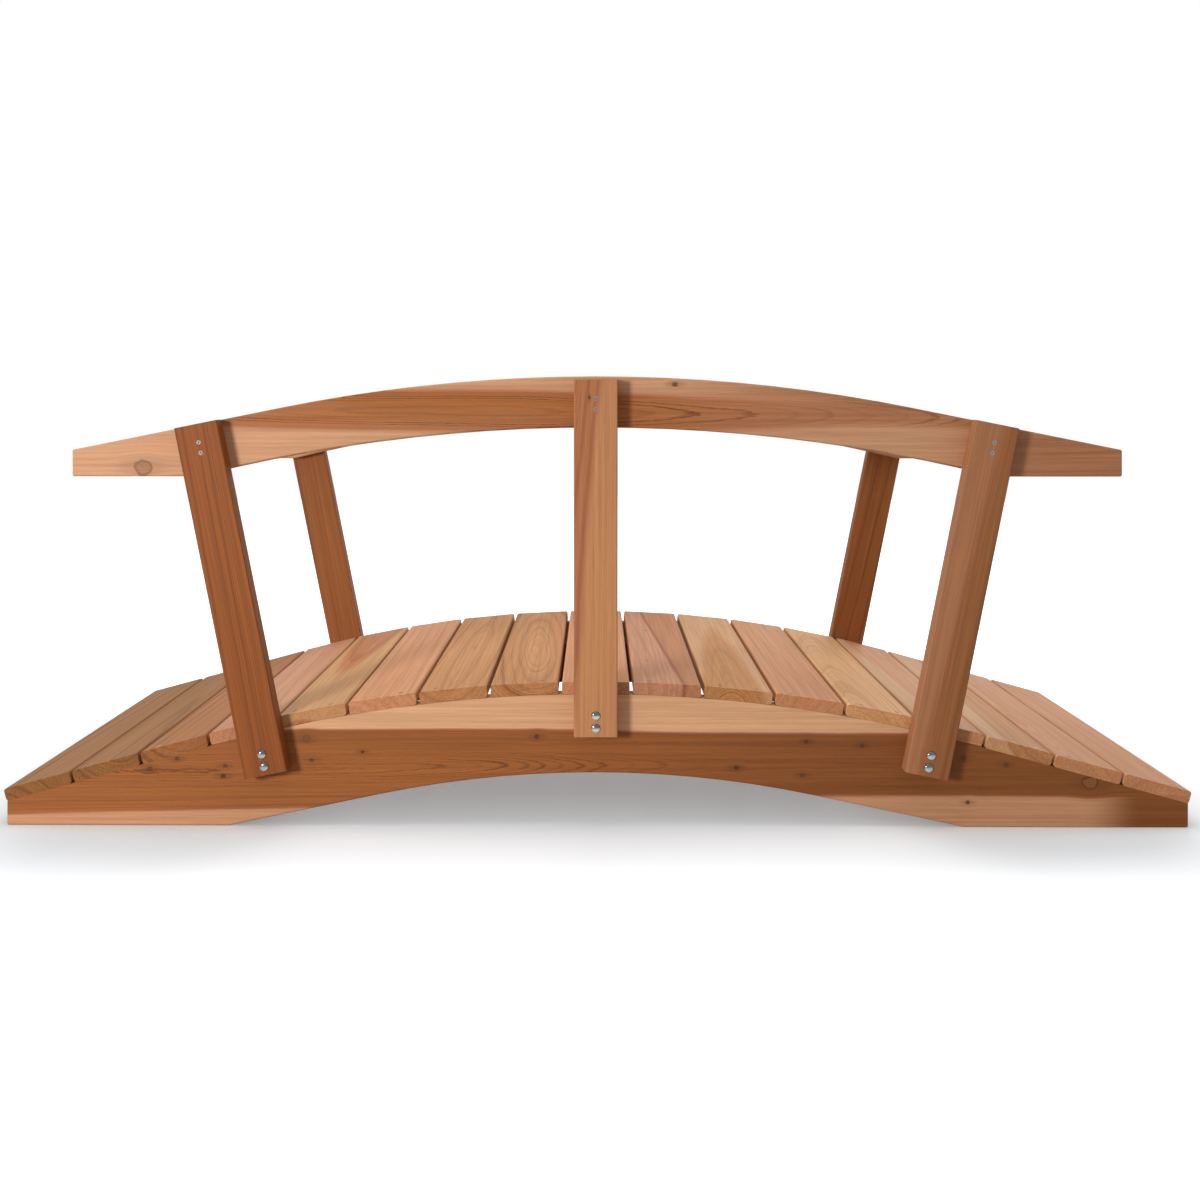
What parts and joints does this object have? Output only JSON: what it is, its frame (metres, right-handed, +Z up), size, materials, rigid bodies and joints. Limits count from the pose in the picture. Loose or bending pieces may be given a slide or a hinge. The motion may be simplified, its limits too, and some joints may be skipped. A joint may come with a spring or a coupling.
{
  "type": "arched garden footbridge",
  "caption": "Arched cedar garden footbridge: sawn stringers with flat feet, a deck of cross boards, leaning side posts and curved handrails on both sides.",
  "frame": {"origin": "on the ground at the middle of the bridge, midway between the four feet", "axes": "+X along the bridge, +Y across it towards the back handrail, +Z up"},
  "size_m": [2.4488, 0.99, 0.929],
  "materials": {
    "deck_cedar": "smooth planed cedar, bare",
    "stringer_cedar": "smooth planed cedar, bare",
    "handrail_cedar": "smooth planed cedar, bare",
    "post_cedar": "smooth planed cedar, bare"
  },
  "bodies": {
    "root": {"deck_board_01": "deck_cedar", "deck_board_02": "deck_cedar", "deck_board_03": "deck_cedar", "deck_board_04": "deck_cedar", "deck_board_05": "deck_cedar", "deck_board_06": "deck_cedar", "deck_board_07": "deck_cedar", "deck_board_08": "deck_cedar", "deck_board_09": "deck_cedar", "deck_board_10": "deck_cedar", "deck_board_11": "deck_cedar", "deck_board_12": "deck_cedar", "deck_board_13": "deck_cedar", "deck_board_14": "deck_cedar", "deck_board_15": "deck_cedar", "deck_board_16": "deck_cedar", "deck_board_17": "deck_cedar", "stringer_front": "stringer_cedar", "stringer_back": "stringer_cedar", "handrail_front": "handrail_cedar", "handrail_back": "handrail_cedar", "post_front_left": "post_cedar", "post_front_centre": "post_cedar", "post_front_right": "post_cedar", "post_back_left": "post_cedar", "post_back_centre": "post_cedar", "post_back_right": "post_cedar"}
  },
  "joints": []
}
